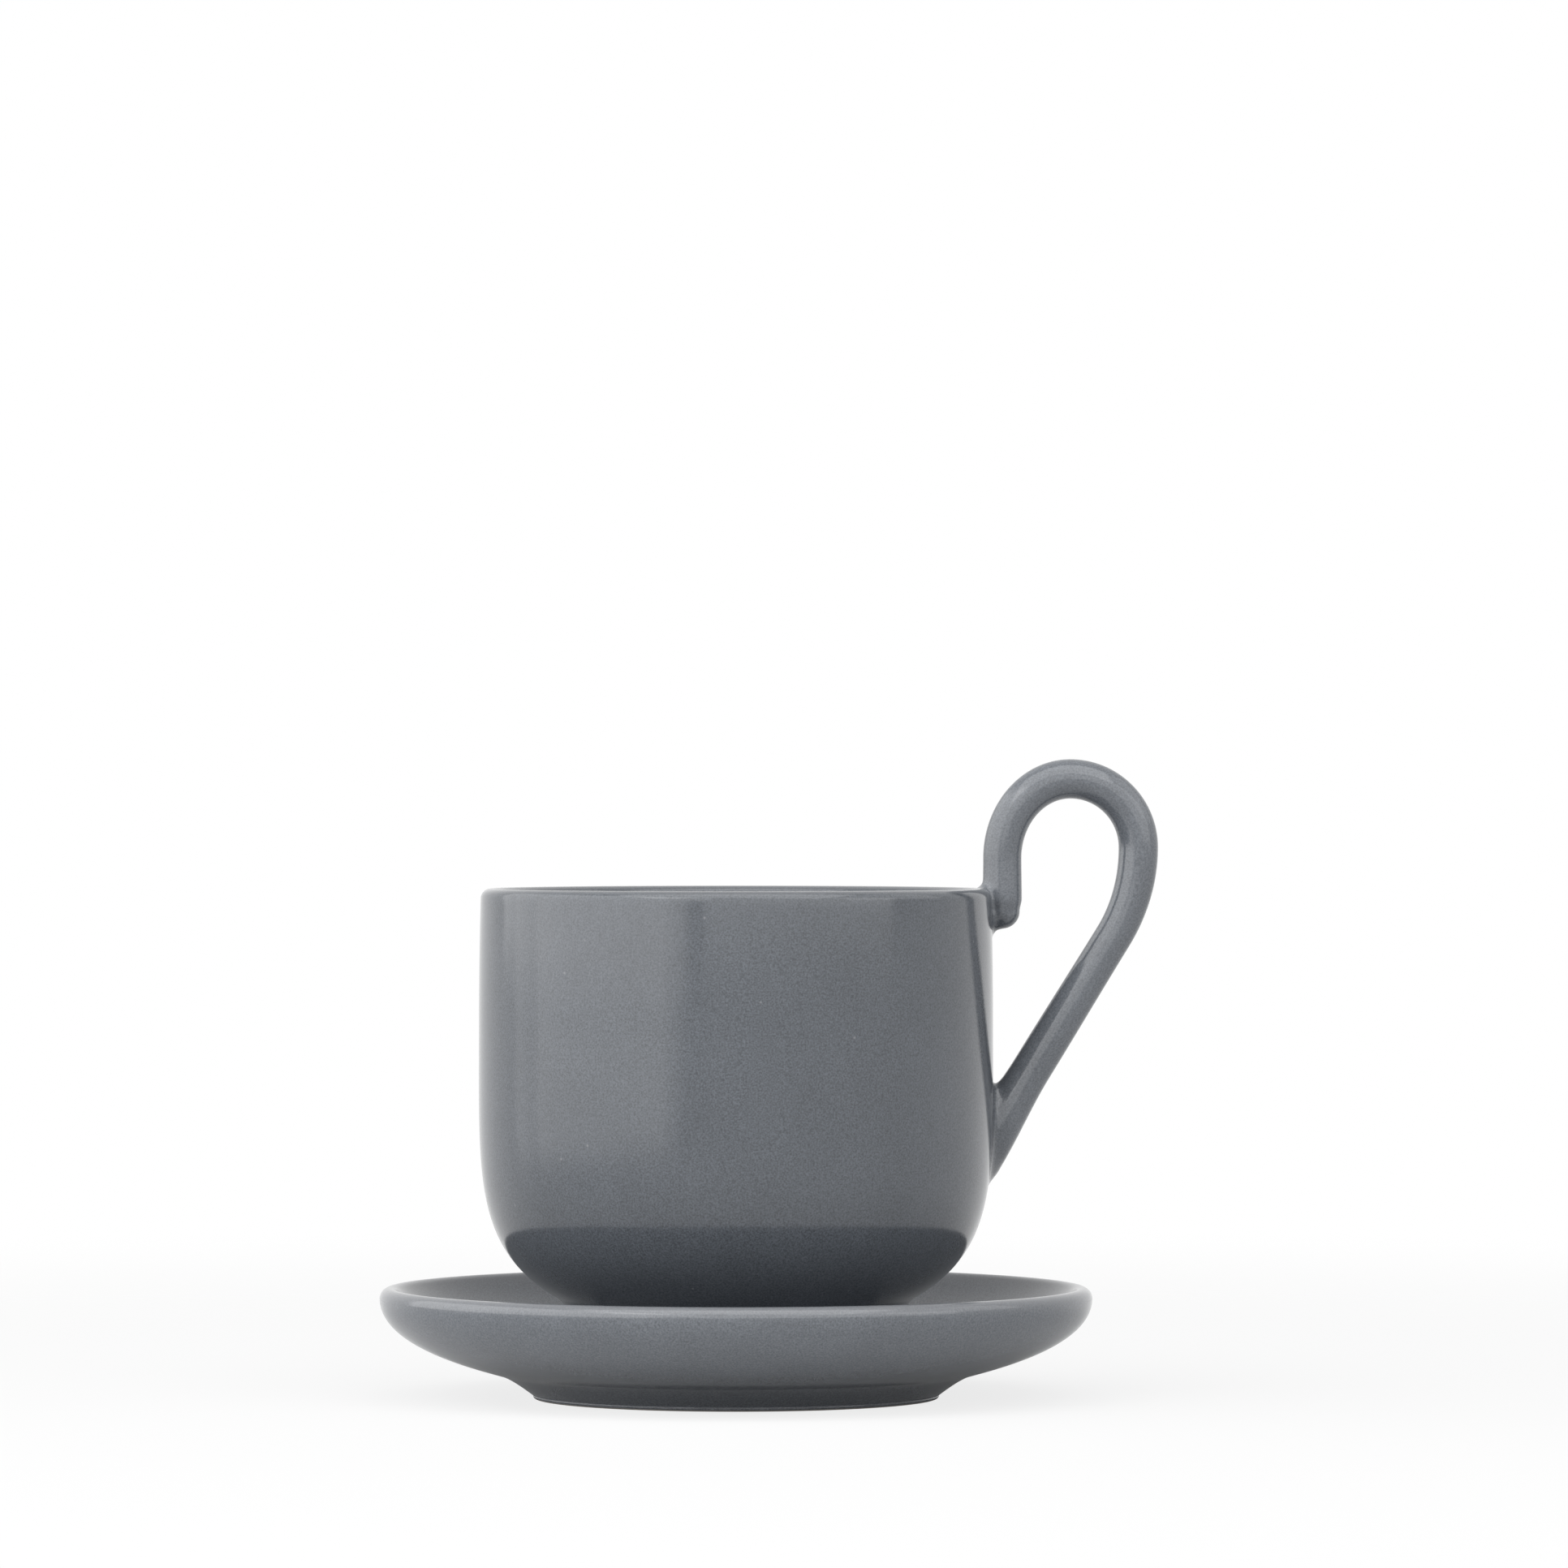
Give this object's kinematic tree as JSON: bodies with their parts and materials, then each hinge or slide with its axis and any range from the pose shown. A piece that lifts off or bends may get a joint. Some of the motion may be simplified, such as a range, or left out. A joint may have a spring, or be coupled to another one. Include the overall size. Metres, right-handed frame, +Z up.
{
  "type": "espresso cup and saucer",
  "caption": "Round stoneware espresso cup with a high crook-shaped rod handle luted over its rim, standing loose in the well of a small dished saucer with a tapered foot ring.",
  "frame": {"origin": "on the surface that the saucer stands on, under the middle of the whole set's box", "axes": "+Z up along the axis of the cup and saucer, +X from that axis towards the handle, +Y completes a right-handed frame"},
  "size_m": [0.0914, 0.0832, 0.0746],
  "materials": {
    "saucer_glaze": "glossy blue-grey glaze with a fine speckle",
    "cup_glaze": "glossy blue-grey glaze with a fine speckle"
  },
  "bodies": {
    "saucer": {"saucer": "saucer_glaze"},
    "cup": {"cup_body": "cup_glaze", "cup_handle": "cup_glaze"}
  },
  "joints": [
    {"name": "cup_lift", "type": "slide", "parent": "saucer", "child": "cup", "axis": [0, 0, 1], "range_m": [0, 0.1]}
  ]
}
